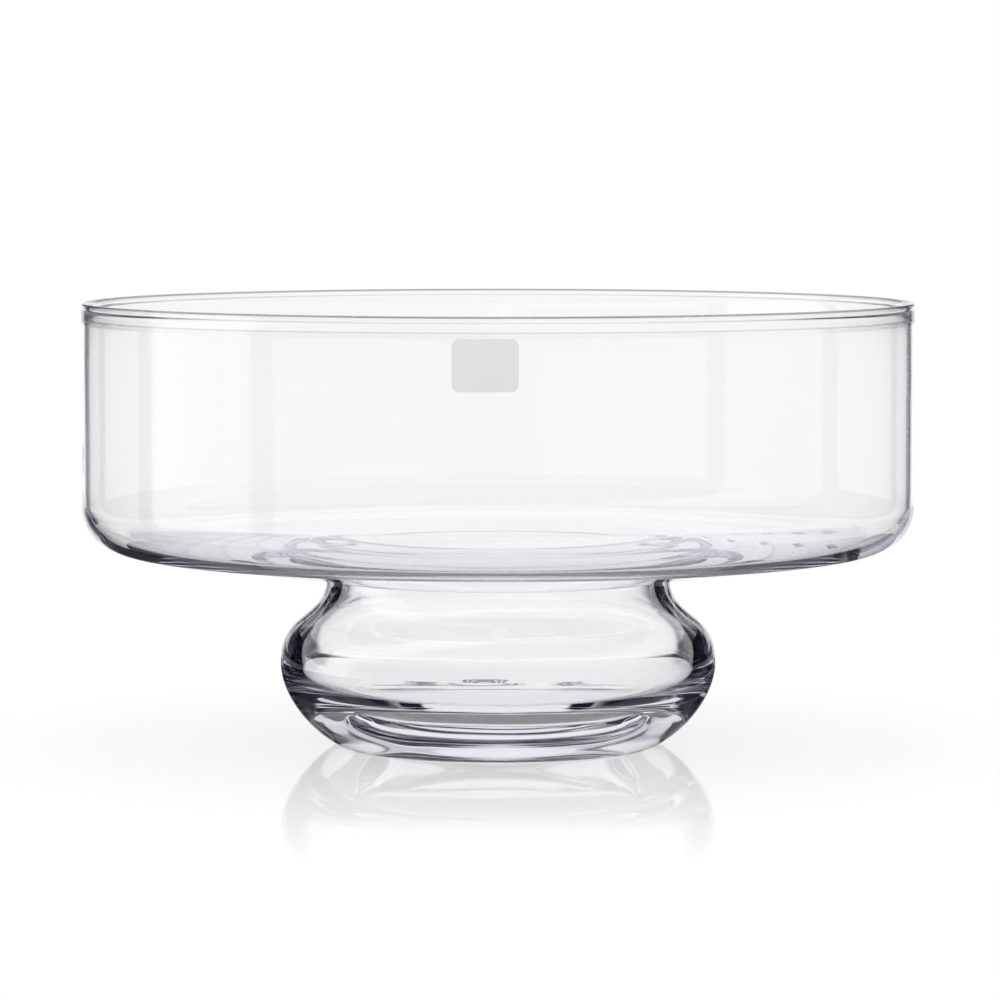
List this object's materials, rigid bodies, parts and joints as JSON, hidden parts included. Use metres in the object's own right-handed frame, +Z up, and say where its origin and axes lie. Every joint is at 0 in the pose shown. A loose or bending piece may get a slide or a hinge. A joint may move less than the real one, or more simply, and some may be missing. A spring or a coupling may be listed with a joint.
{
  "type": "trifle bowl",
  "caption": "Clear glass trifle bowl: a wide straight-sided round dish with a rounded rim, bonded on a squat hollow bulb foot, with a blank clear label near the rim.",
  "frame": {"origin": "on the table, under the middle of the foot", "axes": "+Z up through the middle of the bowl, the blank label at the front on -Y, +X to the right seen from the front"},
  "size_m": [0.2532, 0.2532, 0.1351],
  "materials": {
    "bowl_glass": "fire-polished, clear",
    "foot_glass": "fire-polished, clear",
    "clear_bond": "clear, cured",
    "label_film": "satin film"
  },
  "bodies": {
    "root": {"bowl": "bowl_glass", "foot": "foot_glass", "bond_ring": "clear_bond", "label": "label_film"}
  },
  "joints": []
}
